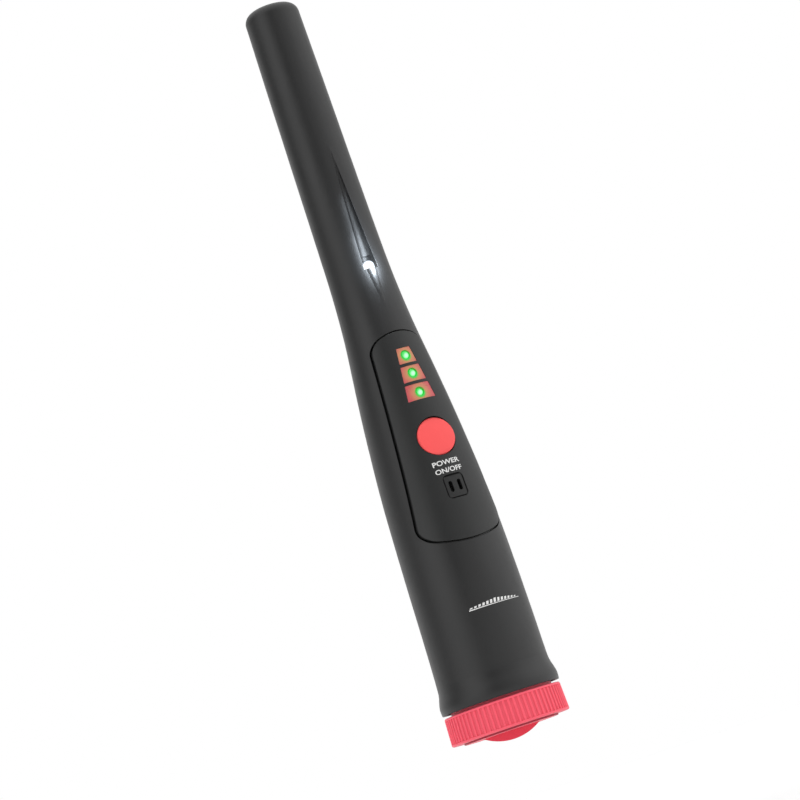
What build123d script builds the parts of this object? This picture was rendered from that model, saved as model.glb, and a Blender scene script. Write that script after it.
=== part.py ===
from build123d import *
import os
from math import cos, radians, sin, sqrt

# Pinpointer probe: a hand-held metal locator with a coil in its tip.
# Frame: Z runs along the probe from the grip fin on the battery cap (z = 0) to the tip.
# -Y is the front, where the control panel is, and +X is to the right seen from the front.

os.makedirs("parts", exist_ok=True)

# ---------------------------------------------------------------- driving dimensions (mm)
total_length = 250.0
wall = 1.8                     # housing wall

# Housing profile: height, outer radius, and how far the section's centre stands to the front.
# The grip is fuller on its front, the shaft and the mouth are true round.
rim_z = 13.5                   # end of the flared mouth, round the battery cap's neck
rim_radius = 19.35
flare_radius = 19.5
flare_z = 15.6
flare_foot_z = 22.0
tip_root_z = 243.0
profile = [
    (flare_foot_z, 18.3, 0.0),
    (29.0, 18.12, 0.35),
    (42.0, 17.9, 0.8),         # battery bay
    (57.0, 17.6, 1.05),
    (72.0, 17.15, 1.2),        # foot of the control panel
    (84.0, 16.6, 1.15),
    (97.0, 15.65, 1.05),       # thumb button
    (110.0, 14.5, 0.95),
    (123.0, 13.1, 0.85),
    (136.0, 11.65, 0.7),       # shoulder
    (146.0, 10.9, 0.5),
    (156.0, 10.42, 0.3),       # lamp
    (170.0, 10.13, 0.1),
    (200.0, 9.71, 0.0),
    (225.0, 9.38, 0.0),
    (tip_root_z, 9.1, 0.0),    # root of the domed tip
]
section_count = 29             # evenly spaced sections that the form is drawn through
tip_crown = 1.0                # rise of the dome between its rounded edge and its apex
tip_edge = 3.6                 # radius of the dome's rounded edge

# Control panel, laid out on the plane that touches the panel at the button's centre.
button_z = 97.0
panel_tilt = 5.5               # degrees that the panel leans back towards the tip
panel_proud = 0.35             # panel skin above the housing skin
panel_thickness = 1.25
gasket_thickness = 0.4
panel_gap = 0.55               # seam all round the panel
panel_top = 36.9
panel_foot = -34.4
panel_top_half = 9.4
panel_foot_half = 15.1
ledge_width = 2.2

window_top = 30.7
window_foot = 12.8
window_top_half = 2.36
window_slope = 0.144           # growth of the half width per mm towards the foot
window_bar = 0.95              # bar of panel left between two windows
window_count = 3
led_levels = [28.2, 22.0, 15.4]
led_radius = 1.5

button_radius = 6.3
button_clearance = 0.22
button_proud = 0.1             # middle of its face above the touching plane
button_crown = 28.0            # radius of its slightly domed face
button_travel = 0.6
collar_depth = 3.7
collar_wall = 1.5
flange_thickness = 0.9
post_radius = 1.7
plunger_radius = 1.75
switch_height = 3.1
plunger_height = 1.0

board_depth = 10.0             # board's front face behind the panel's touching plane
board_thickness = 1.6
board_foot = -17.4
board_top = 50.0
board_wide_half = 10.0
board_narrow_half = 5.6
board_shoulder = 12.0

grille_v = -16.9               # level of the grille's centre on the panel
grille_w = 7.2
grille_h = 7.8
speaker_radius = 7.0
speaker_thickness = 3.4

# Battery, battery cap and its screw thread.
battery_w = 26.5
battery_t = 17.5
battery_body = 46.4
battery_z = 25.4
battery_y = -1.0
battery_corner = 2.8
terminal_height = 2.1
terminal_pitch = 12.7

bore_radius = 16.8             # threaded mouth of the housing
bore_top = 24.4
thread_pitch = 3.0
thread_base = 1.2
thread_crest = 0.6
neck_root = 15.6
neck_crest = 16.6
housing_crest = 15.85
neck_inner = 14.4
neck_top = 23.8
male_thread = (16.6, 22.8)     # heights of the ridge's centre line, first and last
female_thread = (17.4, 23.6)
male_phase = 84.0              # turns the cap's ridge to the middle of the housing's groove

band_foot = 3.4
band_top = 12.6
band_core_top = 18.72          # the band widens a little towards its foot
band_core_foot = 19.08
rib_count = 72
rib_radius = 0.41
lip = 0.75
base_disc_radius = 15.6
base_disc_z = 2.8
fin_radius = 16.5
fin_thickness = 3.4
fin_angle = -27.0              # where the fin stands when the cap is tight
oring_radius = 0.575           # half the ring's section
oring_z = 14.75
floor_top = 7.0                # cap's floor
pillar_radius = 3.2
disc_z = 19.6                  # pressure disc
disc_thickness = 1.6
disc_radius = 14.0
stud_radius = 1.5
stud_clearance = 0.06

# Lamp and its light channel on the shaft.
lamp_z = 155.5                 # wall that the lamp looks out of
channel_tip_z = 198.0
channel_half = 2.55
fairing_tip_z = 137.5
lamp_radius = 2.0
lamp_reach = 1.0               # centre of its round end beyond that wall

# Coil in the tip.
core_radius = 4.0
core_foot = 184.0
core_top = 239.0
former_wall = 0.9

# Vibration motor.
motor_radius = 4.0
motor_y = 5.0
motor_foot = 88.0
motor_length = 18.0
shaft_radius = 0.5
shaft_length = 8.0
weight_radius = 3.8
weight_thickness = 4.5


# ---------------------------------------------------------------- shared helpers
def slope_at(row, column):
    """Slope of the profile at one of its rows, gentle enough never to overshoot a neighbour."""
    if row in (0, len(profile) - 1):
        return 0.0 if column == 2 or row == 0 else \
            (profile[-1][1] - profile[-2][1]) / (profile[-1][0] - profile[-2][0])
    before, here, after = profile[row - 1], profile[row], profile[row + 1]
    rise = (here[column] - before[column]) / (here[0] - before[0])
    fall = (after[column] - here[column]) / (after[0] - here[0])
    if rise * fall <= 0:
        return 0.0
    return 2 * rise * fall / (rise + fall)


def section_at(height):
    """Outer radius and front offset of the housing at a height, smooth through the profile's rows."""
    for row in range(len(profile) - 1):
        low, high = profile[row], profile[row + 1]
        if low[0] <= height <= high[0] + 1e-9:
            span = high[0] - low[0]
            t = (height - low[0]) / span
            values = []
            for column in (1, 2):
                values.append(
                    low[column] * (1 + 2 * t) * (1 - t) ** 2
                    + high[column] * t * t * (3 - 2 * t)
                    + slope_at(row, column) * span * t * (1 - t) ** 2
                    - slope_at(row + 1, column) * span * t * t * (1 - t)
                )
            return values
    raise ValueError("height outside the housing's profile")


def front_of(height):
    """y of the housing's front skin at a height."""
    radius, offset = section_at(height)
    return -radius - offset


def skin(grow):
    """The housing's outer form from rim to tip root, grown by so much all round."""
    step = (tip_root_z - flare_foot_z) / (section_count - 1)
    with BuildPart() as form:
        for index in range(section_count):
            height = flare_foot_z + index * step
            radius, offset = section_at(min(height, tip_root_z))
            with BuildSketch(Plane.XY.offset(height)):
                with Locations((0, -offset)):
                    Circle(radius + grow)
        loft()
        # flared mouth
        foot_radius = profile[0][1]
        with BuildSketch(Plane.XZ):
            with BuildLine():
                Spline((foot_radius + grow, flare_foot_z), (flare_radius + grow, flare_z),
                       (rim_radius + grow, rim_z), tangents=((0, -1), (-0.15, -1)))
                Polyline((rim_radius + grow, rim_z), (0, rim_z), (0, flare_foot_z),
                         (foot_radius + grow, flare_foot_z))
            make_face()
        revolve(axis=Axis.Z)
    return form.part


def panel_face_outline(inset):
    """The panel's outline, drawn in by so much."""
    with BuildSketch(mode=Mode.PRIVATE) as outline:
        with BuildLine():
            top_right = (panel_top_half, panel_top - 2.6)
            top_left = (-panel_top_half, panel_top - 2.6)
            foot_right = (panel_foot_half, panel_foot + 4.4)
            foot_left = (-panel_foot_half, panel_foot + 4.4)
            ThreePointArc(top_left, (0, panel_top), top_right)
            Line(top_right, foot_right)
            ThreePointArc(foot_right, (0, panel_foot), foot_left)
            Line(foot_left, top_left)
        make_face()
        fillet(outline.vertices().group_by(Axis.Y)[-1], 5.5)
        fillet(outline.vertices().sort_by(Axis.Y)[0:2], 7.0)
        if inset:
            offset(amount=-inset, kind=Kind.ARC)
    return outline.sketch


def wire(points, radius, bend):
    """A round wire along straight runs joined by tangent arcs."""
    with BuildPart() as run:
        with BuildLine() as route:
            if len(points) > 2:
                FilletPolyline(*points, radius=bend)
            else:
                Line(*points)
        start = Plane(origin=route.line @ 0, z_dir=route.line % 0)
        with BuildSketch(start):
            Circle(radius)
        sweep()
    return run.part


def thread_ridge(crest, root, first, last):
    """A helical ridge from root to crest, whose centre line climbs from first to last."""
    overlap = 0.15 if root < crest else -0.15
    with BuildPart() as ridge:
        with BuildLine(Plane.XY.offset(first)):
            Helix(pitch=thread_pitch, height=last - first, radius=root)
        with BuildSketch(Plane.XZ):
            with BuildLine():
                Polyline(
                    (root - overlap, first - thread_base / 2),
                    (crest, first - thread_crest / 2),
                    (crest, first + thread_crest / 2),
                    (root - overlap, first + thread_base / 2),
                    close=True,
                )
            make_face()
        sweep(is_frenet=True)
    return ridge.part


panel_y = front_of(button_z) - panel_proud
out = (0, -cos(radians(panel_tilt)), sin(radians(panel_tilt)))
face_plane = Plane(origin=(0, panel_y, button_z), x_dir=(1, 0, 0), z_dir=out)

housing_form = skin(0)
cavity_form = skin(-wall)
panel_outer_form = skin(panel_proud)
panel_inner_form = skin(panel_proud - panel_thickness)
ledge_form = skin(panel_proud - panel_thickness - gasket_thickness)


def panel_prism(inset):
    """The panel's outline as a block that reaches through the front wall only."""
    with BuildPart() as block:
        with BuildSketch(face_plane.offset(-14)):
            add(panel_face_outline(inset))
        extrude(amount=18)
    return block.part


# ---------------------------------------------------------------- housing
def cone_between(apex, base, base_radius):
    """A cone whose point is at apex and whose flat end is centred on base."""
    along = Vector(*apex) - Vector(*base)
    with BuildPart(Plane(origin=base, z_dir=along)) as cone:
        Cone(base_radius, 0, along.length, align=(Align.CENTER, Align.CENTER, Align.MIN))
    return cone.part


def level(depth):
    """The plane parallel to the panel, so far behind the point where the panel touches it."""
    return face_plane.offset(-depth)


def at(x, v, depth):
    """A point given across the panel, up the panel and behind it."""
    return face_plane.from_local_coords((x, v, -depth))


def window_half(v):
    """Half width of the indicator field at a level on the panel."""
    return window_top_half + window_slope * (window_top - v)


def window_outline(index, inset):
    """The outline of one indicator window, drawn in by so much."""
    pitch = (window_top - window_foot + window_bar) / window_count
    high = window_top - index * pitch - inset
    low = window_top - index * pitch - pitch + window_bar + inset
    with BuildSketch(mode=Mode.PRIVATE) as outline:
        with BuildLine():
            Polyline(
                (-window_half(high) + inset, high),
                (window_half(high) - inset, high),
                (window_half(low) - inset, low),
                (-window_half(low) + inset, low),
                close=True,
            )
        make_face()
        fillet(outline.vertices(), 0.25)
    return outline.sketch


def behind_skin(outline, deepest, form):
    """A block with the given outline, from a depth out to the surface of a form."""
    with BuildPart() as block:
        with BuildSketch(level(deepest)):
            add(outline)
        extrude(amount=deepest + 4)
        add(form, mode=Mode.INTERSECT)
    return block.part


def disc(radius, hole=0.0):
    """A round outline, with a hole if it is asked for."""
    with BuildSketch(mode=Mode.PRIVATE) as outline:
        Circle(radius)
        if hole:
            Circle(hole, mode=Mode.SUBTRACT)
    return outline.sketch


# ---------------------------------------------------------------- main housing
lamp_surface = front_of(lamp_z)
lamp_y = lamp_surface + 1.85
channel_cone = cone_between((0, front_of(channel_tip_z) - 0.1, channel_tip_z),
                            (0, lamp_surface + 0.9, lamp_z), channel_half)
fairing_cone = cone_between((0, front_of(fairing_tip_z) + 0.3, fairing_tip_z),
                            (0, lamp_surface + 2.2, lamp_z), 2.75)
tip_radius = profile[-1][1]
# the crown is part of a ball that is centred on the axis
crown_ball = ((tip_radius - 0.06) ** 2 + tip_crown ** 2) / (2 * tip_crown)
crown_mid = total_length - crown_ball + sqrt(crown_ball ** 2 - (tip_radius / 2) ** 2)
lamp_block_foot = 148.4

with BuildPart() as cavity:
    add(cavity_form)
    with BuildSketch(Plane.XY.offset(tip_root_z)):
        Circle(tip_radius - wall)
    extrude(amount=4.2)
    # left solid round the lamp and under its channel
    with BuildSketch(Plane.XY.offset(lamp_block_foot)):
        with Locations((0, -10)):
            Rectangle(8.4, 7.6)
    extrude(amount=core_foot - lamp_block_foot, mode=Mode.SUBTRACT)

with BuildPart() as main_housing:
    add(housing_form)
    add(fairing_cone)
    # domed tip
    with BuildSketch(Plane.XZ) as dome:
        with BuildLine():
            Line((0, tip_root_z), (tip_radius, tip_root_z))
            Line((tip_radius, tip_root_z), (tip_radius - 0.06, total_length - tip_crown))
            ThreePointArc((tip_radius - 0.06, total_length - tip_crown),
                          (tip_radius / 2, crown_mid), (0, total_length))
            Line((0, total_length), (0, tip_root_z))
        make_face()
        fillet(dome.vertices().sort_by(Axis.X)[-2:].sort_by(Axis.Y)[-1:], tip_edge)
    revolve(axis=Axis.Z)
    add(cavity.part, mode=Mode.SUBTRACT)
    # threaded mouth
    with BuildSketch(Plane.XY.offset(rim_z - 0.1)):
        Circle(bore_radius)
    extrude(amount=bore_top - rim_z + 0.1, mode=Mode.SUBTRACT)
    # light channel, and the bore that the lamp is pressed into
    add(channel_cone, mode=Mode.SUBTRACT)
    with BuildSketch(Plane.XY.offset(lamp_block_foot - 0.2)):
        with Locations((0, lamp_y)):
            Circle(lamp_radius)
    extrude(amount=lamp_z + lamp_reach + 2 * lamp_radius - lamp_block_foot, mode=Mode.SUBTRACT)
    # seat and opening of the control panel
    add(panel_prism(0) - ledge_form, mode=Mode.SUBTRACT)
    add(panel_prism(ledge_width), mode=Mode.SUBTRACT)
    add(thread_ridge(housing_crest, bore_radius, *female_thread))
main_housing.part.label = "main_housing"
export_step(main_housing.part, "parts/main_housing.step")

# ---------------------------------------------------------------- control panel
post_places = [(-8.4, -8.5), (8.4, -8.5), (0.0, 32.2)]
post_outer = 1.4
screw_radius = 0.8
collar_outer = button_radius + button_clearance + collar_wall

with BuildPart() as control_panel:
    add(panel_outer_form)
    add(panel_inner_form, mode=Mode.SUBTRACT)
    add(panel_prism(panel_gap), mode=Mode.INTERSECT)
    add(behind_skin(disc(collar_outer), collar_depth, panel_outer_form))
    with BuildSketch(mode=Mode.PRIVATE) as posts:
        with Locations(*post_places):
            Circle(post_outer)
    add(behind_skin(posts.sketch, board_depth, panel_outer_form))
    # button hole, windows, grille and screw holes
    with BuildSketch(level(collar_depth + 1)):
        Circle(button_radius + button_clearance)
    extrude(amount=collar_depth + 5, mode=Mode.SUBTRACT)
    with BuildSketch(level(3)):
        for index in range(window_count):
            add(window_outline(index, 0))
        with Locations((0, grille_v)):
            RectangleRounded(grille_w, grille_h, 1.6)
    extrude(amount=7, mode=Mode.SUBTRACT)
    with BuildSketch(level(board_depth + 1)):
        with Locations(*post_places):
            Circle(screw_radius)
    extrude(amount=7, mode=Mode.SUBTRACT)
control_panel.part.label = "control_panel"
export_step(control_panel.part, "parts/control_panel.step")

with BuildPart() as panel_gasket:
    add(panel_inner_form)
    add(ledge_form, mode=Mode.SUBTRACT)
    add(panel_prism(panel_gap + 0.2), mode=Mode.INTERSECT)
    add(panel_prism(ledge_width), mode=Mode.SUBTRACT)
panel_gasket.part.label = "panel_gasket"
export_step(panel_gasket.part, "parts/panel_gasket.step")

# ---------------------------------------------------------------- indicator windows and their LEDs
window_skin = skin(panel_proud - 0.1)
led_face = -0.05               # the LED's dome stands a little out of its window
led_length = 5.0

for index in range(window_count):
    with BuildPart() as indicator_window:
        add(behind_skin(window_outline(index, 0.02), 4, window_skin))
        add(panel_inner_form, mode=Mode.SUBTRACT)
        with BuildSketch(level(5)):
            with Locations((0, led_levels[index])):
                Circle(led_radius + 0.03)
        extrude(amount=8, mode=Mode.SUBTRACT)
    indicator_window.part.label = f"indicator_window_{index + 1}"
    export_step(indicator_window.part, f"parts/indicator_window_{index + 1}.step")

    led_base = Plane(origin=at(0, led_levels[index], led_face + led_length), x_dir=(1, 0, 0), z_dir=out)
    with BuildPart(led_base) as indicator_led:
        Cylinder(led_radius, led_length - led_radius, align=(Align.CENTER, Align.CENTER, Align.MIN))
        Cylinder(led_radius + 0.3, 0.8, align=(Align.CENTER, Align.CENTER, Align.MIN))
        with Locations((0, 0, led_length - led_radius)):
            Sphere(led_radius)
    indicator_led.part.label = f"indicator_led_{index + 1}"
    export_step(indicator_led.part, f"parts/indicator_led_{index + 1}.step")

with BuildPart() as indicator_leads:
    with BuildSketch(level(board_depth)):
        for led_level in led_levels:
            with Locations((-1.27 / 2, led_level), (1.27 / 2, led_level)):
                Rectangle(0.45, 0.45)
    extrude(amount=board_depth - led_face - led_length)
indicator_leads.part.label = "indicator_leads"
export_step(indicator_leads.part, "parts/indicator_leads.step")

# ---------------------------------------------------------------- sounder and its grille
grille_inner_form = skin(panel_proud - 0.45)

with BuildPart() as speaker_grille:
    with BuildSketch(mode=Mode.PRIVATE) as grille_outline:
        with Locations((0, grille_v)):
            RectangleRounded(grille_w - 0.24, grille_h - 0.24, 1.5)
    add(behind_skin(grille_outline.sketch, 4, skin(panel_proud - 0.12)))
    add(panel_inner_form, mode=Mode.SUBTRACT)
    with BuildSketch(mode=Mode.PRIVATE) as grille_well:
        with Locations((0, grille_v)):
            RectangleRounded(grille_w - 1.6, grille_h - 1.6, 1.0)
    add(behind_skin(grille_well.sketch, 0.4, panel_outer_form) - grille_inner_form, mode=Mode.SUBTRACT)
    with BuildSketch(level(4)):
        with Locations((-1.5, grille_v), (1.5, grille_v)):
            SlotCenterToCenter(2.3, 1.3, rotation=90)
    extrude(amount=7, mode=Mode.SUBTRACT)
speaker_grille.part.label = "speaker_grille"
export_step(speaker_grille.part, "parts/speaker_grille.step")

speaker_face = 3.6
with BuildPart() as speaker_seal:
    with BuildSketch(mode=Mode.PRIVATE) as seal_outline:
        with Locations((0, grille_v)):
            add(disc(speaker_radius, speaker_radius - 1.3))
    add(behind_skin(seal_outline.sketch, speaker_face, panel_inner_form))
speaker_seal.part.label = "speaker_seal"
export_step(speaker_seal.part, "parts/speaker_seal.step")

with BuildPart() as speaker:
    with BuildSketch(level(speaker_face + speaker_thickness)):
        with Locations((0, grille_v)):
            Circle(speaker_radius)
    extrude(amount=speaker_thickness)
    fillet(speaker.edges().filter_by(GeomType.CIRCLE), 0.4)
    with BuildSketch(level(speaker_face)):
        with Locations((0, grille_v)):
            Circle(1.0)
    extrude(amount=-1.5, mode=Mode.SUBTRACT)
speaker.part.label = "speaker"
export_step(speaker.part, "parts/speaker.step")

# ---------------------------------------------------------------- power button
flange_face = collar_depth + 0.1
post_end = board_depth - switch_height - plunger_height
membrane_face = flange_face + flange_thickness + button_travel
membrane_thickness = 0.4
flange_radius = button_radius + 0.9

with BuildPart() as button_ball:
    with Locations(at(0, 0, button_crown - button_proud)):
        Sphere(button_crown)

with BuildPart() as power_button:
    add(behind_skin(disc(button_radius), flange_face + 0.1, button_ball.part))
    fillet(power_button.faces().sort_by(Axis.Y)[0].edges(), 0.45)
    with BuildSketch(level(flange_face + flange_thickness)):
        Circle(flange_radius)
    extrude(amount=flange_thickness)
    with BuildSketch(level(post_end)):
        Circle(post_radius)
    extrude(amount=post_end - flange_face)
power_button.part.label = "power_button"
export_step(power_button.part, "parts/power_button.step")

with BuildPart() as button_membrane:
    with BuildSketch(level(membrane_face + membrane_thickness)):
        Circle(collar_outer)
        Circle(post_radius + 0.06, mode=Mode.SUBTRACT)
    extrude(amount=membrane_thickness)
    with BuildSketch(level(membrane_face)):
        Circle(collar_outer)
        Circle(flange_radius + 0.3, mode=Mode.SUBTRACT)
    extrude(amount=membrane_face - collar_depth - 0.05)
button_membrane.part.label = "button_membrane"
export_step(button_membrane.part, "parts/button_membrane.step")

with BuildPart() as tact_switch:
    with BuildSketch(level(board_depth)):
        RectangleRounded(6.0, 6.0, 0.4)
    extrude(amount=switch_height)
    with BuildSketch(level(board_depth - switch_height)):
        Circle(plunger_radius + 0.05)
    extrude(amount=-2.4, mode=Mode.SUBTRACT)
tact_switch.part.label = "tact_switch"
export_step(tact_switch.part, "parts/tact_switch.step")

with BuildPart() as switch_plunger:
    with BuildSketch(level(post_end + 2.5)):
        Circle(plunger_radius)
    extrude(amount=2.5)
switch_plunger.part.label = "switch_plunger"
export_step(switch_plunger.part, "parts/switch_plunger.step")

# ---------------------------------------------------------------- circuit board
board_back = board_depth + board_thickness

with BuildPart() as circuit_board:
    with BuildSketch(level(board_back)):
        with BuildLine():
            Polyline(
                (board_wide_half, board_foot),
                (board_wide_half, board_shoulder),
                (board_narrow_half, board_shoulder + 7),
                (board_narrow_half, board_top),
                (-board_narrow_half, board_top),
                (-board_narrow_half, board_shoulder + 7),
                (-board_wide_half, board_shoulder),
                (-board_wide_half, board_foot),
                close=True,
            )
        make_face()
        with Locations(*post_places):
            Circle(screw_radius + 0.1, mode=Mode.SUBTRACT)
    extrude(amount=board_thickness)
    fillet(circuit_board.edges().filter_by(Axis(at(0, 0, 0), face_plane.z_dir)).group_by(Axis.Z)[0], 1.5)
circuit_board.part.label = "circuit_board"
export_step(circuit_board.part, "parts/circuit_board.step")

with BuildPart() as board_screws:
    with BuildSketch(level(board_back + 1.2)):
        with Locations(*post_places):
            Circle(1.5)
    extrude(amount=1.2)
    with BuildSketch(level(board_back)):
        with Locations(*post_places):
            Circle(screw_radius - 0.02)
    extrude(amount=5.0)
    with BuildSketch(level(board_back + 1.2)):
        for place in post_places:
            with Locations(place):
                Rectangle(1.7, 0.4)
                Rectangle(0.4, 1.7)
    extrude(amount=0.6, mode=Mode.SUBTRACT)
board_screws.part.label = "board_screws"
export_step(board_screws.part, "parts/board_screws.step")

with BuildPart() as microcontroller:
    with BuildSketch(level(board_depth)):
        with Locations((0, 8.6)):
            RectangleRounded(7.0, 7.0, 0.3)
    extrude(amount=1.1)
microcontroller.part.label = "microcontroller"
export_step(microcontroller.part, "parts/microcontroller.step")

amplifier_places = [(-4.2, -6.5), (4.2, -6.5)]
with BuildPart() as amplifier_chips:
    with BuildSketch(level(board_back)):
        with Locations(*amplifier_places):
            Rectangle(5.0, 4.0)
    extrude(amount=-1.5)
amplifier_chips.part.label = "amplifier_chips"
export_step(amplifier_chips.part, "parts/amplifier_chips.step")

with BuildPart() as chip_legs:
    with BuildSketch(level(board_back)):
        for x, v in amplifier_places:
            for side in (-1, 1):
                with Locations((x, v + side * 2.5)):
                    with GridLocations(1.27, 1, 4, 1):
                        Rectangle(0.4, 1.0)
    extrude(amount=-0.5)
chip_legs.part.label = "chip_legs"
export_step(chip_legs.part, "parts/chip_legs.step")

with BuildPart() as filter_capacitors:
    with BuildSketch(level(board_back)):
        with Locations((-6.4, 3.0), (6.4, 3.0), (0.0, 24.0)):
            Circle(2.5)
    extrude(amount=-4.6)
    fillet(filter_capacitors.edges().group_by(Axis(at(0, 0, 0), face_plane.z_dir))[0], 0.4)
filter_capacitors.part.label = "filter_capacitors"
export_step(filter_capacitors.part, "parts/filter_capacitors.step")

with BuildPart() as crystal:
    with BuildSketch(level(board_back)):
        with Locations((0, 9.0)):
            SlotCenterToCenter(6.0, 3.6)
    extrude(amount=-3.0)
crystal.part.label = "crystal"
export_step(crystal.part, "parts/crystal.step")

with BuildPart() as chip_components:
    with BuildSketch(level(board_depth)):
        for side in (-1, 1):
            with Locations((side * 5.4, 0.4)):
                with GridLocations(1, 2.4, 1, 8):
                    Rectangle(1.6, 0.8)
            with Locations((side * 3.6, 27.0)):
                with GridLocations(1, 2.4, 1, 7):
                    Rectangle(1.6, 0.8)
    extrude(amount=0.5)
chip_components.part.label = "chip_components"
export_step(chip_components.part, "parts/chip_components.step")

supply_x = -5.5
supply_v = -14.0
with BuildPart() as supply_connector:
    with BuildSketch(level(board_back)):
        with Locations((supply_x, supply_v)):
            Rectangle(6.0, 4.0)
    extrude(amount=-3.2)
supply_connector.part.label = "supply_connector"
export_step(supply_connector.part, "parts/supply_connector.step")

# ---------------------------------------------------------------- lamp
lamp_base = lamp_z - 4.8
lamp_length = lamp_z + lamp_reach - lamp_base
lead_turn = lamp_block_foot - 1.5
with BuildPart(Plane.XY.offset(lamp_base)) as flashlight_led:
    with Locations((0, lamp_y)):
        Cylinder(lamp_radius, lamp_length, align=(Align.CENTER, Align.CENTER, Align.MIN))
    with Locations((0, lamp_y, lamp_length)):
        Sphere(lamp_radius)
flashlight_led.part.label = "flashlight_led"
export_step(flashlight_led.part, "parts/flashlight_led.step")

with BuildPart() as flashlight_leads:
    for x in (-0.65, 0.65):
        joint_on_board = at(x, 48.0, board_depth)
        add(wire([(x, lamp_y, lamp_base), (x, lamp_y, lead_turn),
                  (x, joint_on_board.Y - 0.35, joint_on_board.Z)], 0.25, 2.4))
flashlight_leads.part.label = "flashlight_leads"
export_step(flashlight_leads.part, "parts/flashlight_leads.step")

# ---------------------------------------------------------------- search coil
with BuildPart(Plane.XY.offset(core_foot)) as ferrite_core:
    Cylinder(core_radius, core_top - core_foot, align=(Align.CENTER, Align.CENTER, Align.MIN))
    chamfer(ferrite_core.edges().filter_by(GeomType.CIRCLE), 0.4)
ferrite_core.part.label = "ferrite_core"
export_step(ferrite_core.part, "parts/ferrite_core.step")

former_outer = core_radius + 0.03 + former_wall
flange_heights = [186.0, 211.0, 236.0]
with BuildPart() as coil_former:
    with BuildSketch(Plane.XY.offset(flange_heights[0])):
        Circle(former_outer)
        Circle(core_radius + 0.03, mode=Mode.SUBTRACT)
    extrude(amount=flange_heights[-1] + 1 - flange_heights[0])
    for flange_height in flange_heights:
        with BuildSketch(Plane.XY.offset(flange_height)):
            Circle(6.9)
            Circle(core_radius + 0.03, mode=Mode.SUBTRACT)
        extrude(amount=1.0)
coil_former.part.label = "coil_former"
export_step(coil_former.part, "parts/coil_former.step")

with BuildPart() as transmit_coil:
    with BuildSketch(Plane.XY.offset(flange_heights[0] + 1.1)):
        Circle(6.4)
        Circle(former_outer + 0.01, mode=Mode.SUBTRACT)
    extrude(amount=23.8)
transmit_coil.part.label = "transmit_coil"
export_step(transmit_coil.part, "parts/transmit_coil.step")

with BuildPart() as receive_coil:
    with BuildSketch(Plane.XY.offset(flange_heights[1] + 1.1)):
        Circle(6.1)
        Circle(former_outer + 0.01, mode=Mode.SUBTRACT)
    extrude(amount=23.8)
receive_coil.part.label = "receive_coil"
export_step(receive_coil.part, "parts/receive_coil.step")

with BuildPart() as coil_rings:
    with BuildSketch(Plane.XY.offset(184.3)):
        Circle(7.95)
        Circle(core_radius + 0.03, mode=Mode.SUBTRACT)
    extrude(amount=1.6)
    with BuildSketch(Plane.XY.offset(237.1)):
        Circle(7.2)
        Circle(core_radius + 0.03, mode=Mode.SUBTRACT)
    extrude(amount=1.6)
coil_rings.part.label = "coil_rings"
export_step(coil_rings.part, "parts/coil_rings.step")

with BuildPart() as tip_pad:
    with BuildSketch(Plane.XY.offset(core_top + 0.05)):
        Circle(7.1)
    extrude(amount=7.6)
tip_pad.part.label = "tip_pad"
export_step(tip_pad.part, "parts/tip_pad.step")

with BuildPart() as coil_leads:
    for x in (-2.4, -0.8, 0.8, 2.4):
        joint_on_board = at(x, 46.0, board_back)
        add(wire([(x, 5.4, 184.2), (x, 5.2, 168.0), (x, 2.0, 153.0),
                  (x, joint_on_board.Y + 0.35, joint_on_board.Z)], 0.3, 12.0))
coil_leads.part.label = "coil_leads"
export_step(coil_leads.part, "parts/coil_leads.step")

# ---------------------------------------------------------------- vibration motor
with BuildPart() as vibration_motor:
    with BuildSketch(Plane.XY.offset(motor_foot)):
        with Locations((0, motor_y)):
            Circle(motor_radius)
    extrude(amount=motor_length)
    fillet(vibration_motor.edges().filter_by(GeomType.CIRCLE), 0.5)
    with BuildSketch(Plane.XY.offset(motor_foot + motor_length)):
        with Locations((0, motor_y)):
            Circle(1.5)
    extrude(amount=1.0)
    with BuildSketch(Plane.XY.offset(motor_foot + motor_length - 3)):
        with Locations((0, motor_y)):
            Circle(shaft_radius + 0.05)
    extrude(amount=5.0, mode=Mode.SUBTRACT)
vibration_motor.part.label = "vibration_motor"
export_step(vibration_motor.part, "parts/vibration_motor.step")

with BuildPart() as motor_shaft:
    with BuildSketch(Plane.XY.offset(motor_foot + motor_length - 2.9)):
        with Locations((0, motor_y)):
            Circle(shaft_radius)
    extrude(amount=shaft_length + 2.9)
motor_shaft.part.label = "motor_shaft"
export_step(motor_shaft.part, "parts/motor_shaft.step")

with BuildPart() as motor_weight:
    with BuildSketch(Plane.XY.offset(motor_foot + motor_length + 2.4)):
        with Locations((0, motor_y)):
            Circle(weight_radius)
            with Locations((0, -weight_radius / 2 - 1.2)):
                Rectangle(2 * weight_radius, weight_radius, mode=Mode.SUBTRACT)
            Circle(1.6)
            Circle(shaft_radius, mode=Mode.SUBTRACT)
    extrude(amount=weight_thickness)
motor_weight.part.label = "motor_weight"
export_step(motor_weight.part, "parts/motor_weight.step")

with BuildPart() as motor_cradle:
    with BuildSketch(Plane.XY.offset(motor_foot + 3)):
        with Locations((0, motor_y - 1)):
            Rectangle(12.0, 12.0, align=(Align.CENTER, Align.MIN))
        with Locations((0, motor_y)):
            Circle(motor_radius, mode=Mode.SUBTRACT)
    extrude(amount=12)
    add(cavity_form, mode=Mode.INTERSECT)
motor_cradle.part.label = "motor_cradle"
export_step(motor_cradle.part, "parts/motor_cradle.step")

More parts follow.
